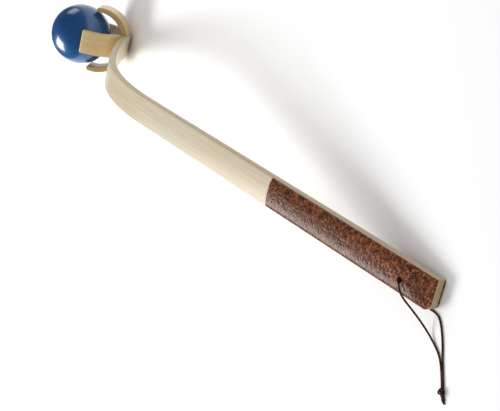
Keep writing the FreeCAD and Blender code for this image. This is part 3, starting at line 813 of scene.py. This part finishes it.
# The knot: the lace crosses itself three times, pulled down to a small lump.
front_end, back_end = Vector(FRONT_STRAND[-1]), Vector(BACK_STRAND[-1])
knot_axis = (front_end - Vector(FRONT_STRAND[-2])).normalized()
knot_side = Vector((-knot_axis.y, knot_axis.x, 0))
knot_length = 0.0042
knot_middle = (front_end + back_end) / 2 + knot_axis * knot_length / 2
knot_middle.z = 0.0018
KNOT_RING, KNOT_WAVE = 0.00145, 0.0007      # the ring's radius, and how far the lace strays
KNOT_STRETCH, KNOT_RISE = 1.15, 1.6         # the ring's length, and the height of its waves
KNOT_PULL = 0.98                            # how much the lace thins where it is pulled tight


def knot_mesh():
    """A lace swept round a closed three-crossing path."""
    count, corners, radius = 160, 12, LACE / 2 * KNOT_PULL

    def path(t):
        out = KNOT_RING + KNOT_WAVE * math.cos(3 * t)
        forward = knot_axis * out * KNOT_STRETCH * math.cos(2 * t)
        aside = knot_side * out * math.sin(2 * t)
        lift = Vector((0, 0, KNOT_WAVE * KNOT_RISE * math.sin(3 * t)))
        return knot_middle + (forward + aside) + lift

    work = bmesh.new()
    rings = []
    for i in range(count):
        turn = 2 * math.pi * i / count
        spot = path(turn)
        ahead = (path(turn + 0.01) - spot).normalized()
        first = ahead.cross(spot - knot_middle).normalized()
        second = ahead.cross(first)
        rings.append([work.verts.new(spot + first * radius * math.cos(a)
                                     + second * radius * math.sin(a))
                      for a in (2 * math.pi * k / corners for k in range(corners))])
    for here, there in zip(rings, rings[1:] + rings[:1]):
        for k in range(corners):
            following = (k + 1) % corners
            work.faces.new((here[k], here[following], there[following], there[k]))
    mesh = bpy.data.meshes.new("lace_knot")
    work.to_mesh(mesh)
    work.free()
    mesh.materials.append(lace_finish)
    piece = bpy.data.objects.new("lace_knot", mesh)
    bpy.context.scene.collection.objects.link(piece)
    smooth(piece, math.radians(60))
    return piece


knot = knot_mesh()
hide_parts("cord_knot")
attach(knot, "launcher")
knot_finish = (front_end + back_end) / 2 + knot_axis * knot_length


def tail(name, steps):
    """A short end of the lace, by its points' distances along the knot's axis and aside."""
    points = []
    for along, aside in steps:
        spot = knot_finish + knot_axis * along + knot_side * aside
        points.append((spot.x, spot.y, LACE / 2))
    return strand(name, points)


long_tail = tail("lace_long_end", [(0, -0.00085), (0.0021, -0.00085), (0.004, 0.00005),
                                   (0.0055, 0.00145)])
short_tail = tail("lace_short_end", [(0, 0.00085), (0.0019, 0.00085), (0.0036, 0.00165)])
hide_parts("cord_tails")

# ---------------------------------------------------------------- floor, light and camera
# A white table in a white room, which is darker where a gloss mirrors it. A broad soft light
# stands high on the cord's side of the ball, a weaker one low on its other side. The camera
# looks along the grip from above the butt.
def matt_white():
    material, _, shader = finish_called("white_table")
    shader.inputs["Base Color"].default_value = srgb(252, 252, 252)
    shader.inputs["Roughness"].default_value = 0.9
    return material


TABLE = 6.0                     # half the table's side
floor_mesh = bpy.data.meshes.new("table")
floor_mesh.from_pydata([(x * TABLE, y * TABLE, 0) for x, y in ((-1, -1), (1, -1), (1, 1), (-1, 1))],
                       [], [(0, 1, 2, 3)])
floor_mesh.materials.append(matt_white())
floor = bpy.data.objects.new("table", floor_mesh)
bpy.context.scene.collection.objects.link(floor)

world = bpy.data.worlds.new("studio")
bpy.context.scene.world = world
world.use_nodes = True
sky = world.node_tree.nodes["Background"]
sky.inputs["Color"].default_value = (1, 1, 1, 1)
ROOM_LIGHT, ROOM_MIRRORED = 0.6, 0.1
room = Wires(world.node_tree)
mirrored = room.node("ShaderNodeLightPath")["Is Glossy Ray"]
strength = ROOM_LIGHT - mirrored * (ROOM_LIGHT - ROOM_MIRRORED)
feed(room, sky, Strength=strength)


def soft_light(name, place, target, size, power):
    """A square area light of a size in metres and a power in watts, turned to the target."""
    lamp = bpy.data.lights.new(name, "AREA")
    lamp.shape, lamp.size, lamp.energy = "SQUARE", size, power
    holder = bpy.data.objects.new(name, lamp)
    bpy.context.scene.collection.objects.link(holder)
    holder.location = place
    holder.rotation_euler = (Vector(target) - Vector(place)).to_track_quat("-Z", "Y").to_euler()


soft_light("key", (-0.92, -1.1, 1.25), (0, 0, 0), size=0.9, power=32)
soft_light("window", (-1.36, 1.47, 0.62), (-0.3, 0, 0.05), size=0.8, power=5)
bpy.context.scene.view_settings.view_transform = "Standard"

CAMERA_PLACE = Vector((0.905777, 0.264272, 0.475589))
LOOK_HEADING, LOOK_DOWN, LOOK_ROLL = (math.radians(a) for a in (200.268, 27.726, 85.929))
camera_data = bpy.data.cameras.new("camera")
camera_data.lens = 86.0
camera_data.sensor_width = 36.0
camera_data.clip_start = 0.01
camera = bpy.data.objects.new("camera", camera_data)
bpy.context.scene.collection.objects.link(camera)
forward = Vector((math.cos(LOOK_DOWN) * math.cos(LOOK_HEADING),
                  math.cos(LOOK_DOWN) * math.sin(LOOK_HEADING), -math.sin(LOOK_DOWN)))
level = forward.cross(Vector((0, 0, 1))).normalized()
right = Matrix.Rotation(LOOK_ROLL, 3, forward) @ level
up = right.cross(forward)
turned = Matrix((right, up, -forward)).transposed()
camera.matrix_world = Matrix.Translation(CAMERA_PLACE) @ turned.to_4x4()
bpy.context.scene.camera = camera
